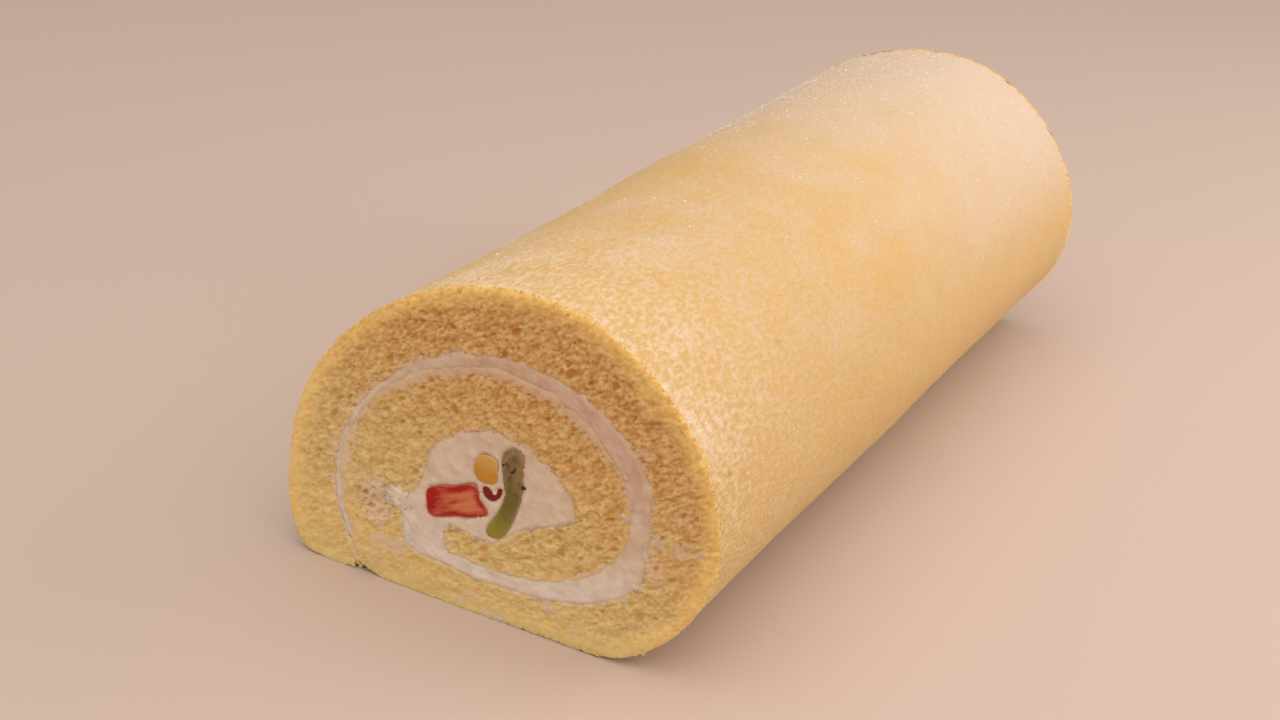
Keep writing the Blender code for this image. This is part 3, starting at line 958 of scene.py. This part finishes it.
# Places across and up the cut and radii of the flakes that stand up at its edge
FLAKES = (
    (16.4, 72.9, 1.1), (18.4, 71.9, 0.9), (42.4, 56.4, 0.9), (41.4, 57.6, 0.8), (43.2, 55.2, 0.7),
    (-8.0, 71.8, 0.6), (27.0, 68.2, 0.6), (36.6, 4.9, 0.8), (35.2, 4.0, 0.7), (49.2, 22.5, 0.7),
    (-47.0, 5.0, 0.6), (24.6, 0.9, 0.7),
)
# The lumps at the seam, given as the dabs of cream are
SEAM_LUMPS = (
    (-31.2, 2.2, 1.6, 0.9, 0.5), (-29.0, 1.9, 1.5, 0.8, 0.5), (-32.8, 3.9, 0.9, 0.9, 0.4),
    (-33.7, 2.4, 1.0, 1.3, 0.4), (-33.8, 5.6, 0.6, 1.2, 0.3), (-34.7, 7.6, 0.6, 1.2, 0.3),
)


def crumb_spots(draw):
    """Spots of the crumbs and their radii, in millimetres, on both cuts."""
    spots, sizes = [], []
    low = LINE_PLACES[SKIN_LINE[:, 1] < 5]
    low = low[low < COVERED_FROM + 6]
    for cut, inwards in CUTS:
        for along in draw.choice(low, EDGE_CRUMBS):
            deep = abs(draw.normal(0.2, 0.5))
            skin_ends, through, _ = across_sheet([along])
            x, z = skin_ends[0] + through[0] * (deep + 0.3)
            back = cut_back(x, z, along, deep) + draw.uniform(0.2, 0.5)
            spots.append((x, cut + inwards * back, max(z, 0.3)))
            sizes.append(draw.uniform(0.2, 0.5))
        for along in draw.uniform(20, SHEET_LENGTH, CREAM_CRUMBS):
            x, z = read_line(CREAM_LINE, [along], LINE_PLACES)[0] + draw.normal(0, 0.5, 2)
            spots.append((x, cut + inwards * draw.uniform(0.2, 0.5), z))
            sizes.append(draw.uniform(0.12, 0.3))
        for _ in range(SEAM_CRUMBS):
            x = draw.uniform(-34.2, -27.0)
            spots.append((x, cut + inwards * draw.uniform(0.8, 2.2), draw.uniform(0.2, 1.8)))
            sizes.append(draw.uniform(0.2, 0.45))
        for x, z, radius in FLAKES:
            spots.append((x, cut + inwards * (radius + 0.3), z))
            sizes.append(radius)
    return np.array(spots), np.array(sizes)


def shade_as_crumb(piece):
    """Gives loose crumbs the values that the crumb's material reads."""
    for attribute, value in (("pit", 0.2), ("open_crumb", 0.5), ("smear", 0.2)):
        keep_value(piece, attribute, [value] * len(piece.data.vertices))


crumb_draw = np.random.default_rng(5)
crumb_grain = bmesh.new()
bmesh.ops.create_icosphere(crumb_grain, subdivisions=2, radius=1)
loose = strewn("loose_crumbs", crumb_grain, *crumb_spots(crumb_draw), crumb_draw, "sponge", crumb_material)
shade_as_crumb(loose)
shade_as_crumb(soft_dabs("seam_lumps", SEAM_LUMPS, crumb_material))

# Studio
# A plain pale table under a wide soft lamp that hangs a little in front of the roll, with a weak one
# low at its right and behind, and a warm fill. The camera looks down on the near cut from its right.
FLOOR_REACH = 3                 # in metres
floor_shape = bmesh.new()
bmesh.ops.create_grid(floor_shape, x_segments=1, y_segments=1, size=FLOOR_REACH)
floor_mesh = bpy.data.meshes.new("floor")
floor_shape.to_mesh(floor_mesh)
floor_shape.free()
floor = in_scene("floor", floor_mesh)


def pale_table():
    """A plain matt painted table top."""
    material, tree, _ = new_material("painted_table_top")
    surface = add(tree, "BsdfPrincipled", {"Base Color": "#CCBDB7", "Roughness": 0.6})
    add(tree, "OutputMaterial", {"Surface": surface})
    return material


floor.data.materials.append(pale_table())

CAMERA_PLACE = (0.1798, -0.3814, 0.2134)
CAMERA_TURN = radians(28.29)
CAMERA_DIP = radians(25.08)
CAMERA_ROLL = radians(3.19)
CAMERA_LENS = 52.03
camera_data = bpy.data.cameras.new("camera")
camera_data.lens = CAMERA_LENS
camera = in_scene("camera", camera_data)
camera.matrix_world = (
    Matrix.Translation(CAMERA_PLACE) @ Matrix.Rotation(CAMERA_TURN, 4, "Z")
    @ Matrix.Rotation(pi / 2 - CAMERA_DIP, 4, "X") @ Matrix.Rotation(CAMERA_ROLL, 4, "Z")
)
bpy.context.scene.camera = camera

WARM = (1.0, 0.86, 0.74)
FILL = 0.48


def soft_lamp(name, place, size, power):
    data = bpy.data.lights.new(name, "AREA")
    data.size = size
    data.energy = power
    data.color = WARM
    aim = Vector(place).to_track_quat("Z", "Y").to_matrix().to_4x4()
    in_scene(name, data).matrix_world = Matrix.Translation(place) @ aim


soft_lamp("overhead_lamp", (0.12, -0.28, 0.9), 1.3, 7.8)
soft_lamp("side_lamp", (0.55, 0.3, 0.32), 0.5, 2.1)
world = bpy.data.worlds.new("studio")
world.use_nodes = True
background = world.node_tree.nodes["Background"]
background.inputs["Color"].default_value = (*WARM, 1)
background.inputs["Strength"].default_value = FILL
bpy.context.scene.world = world
bpy.context.scene.view_settings.view_transform = "Standard"
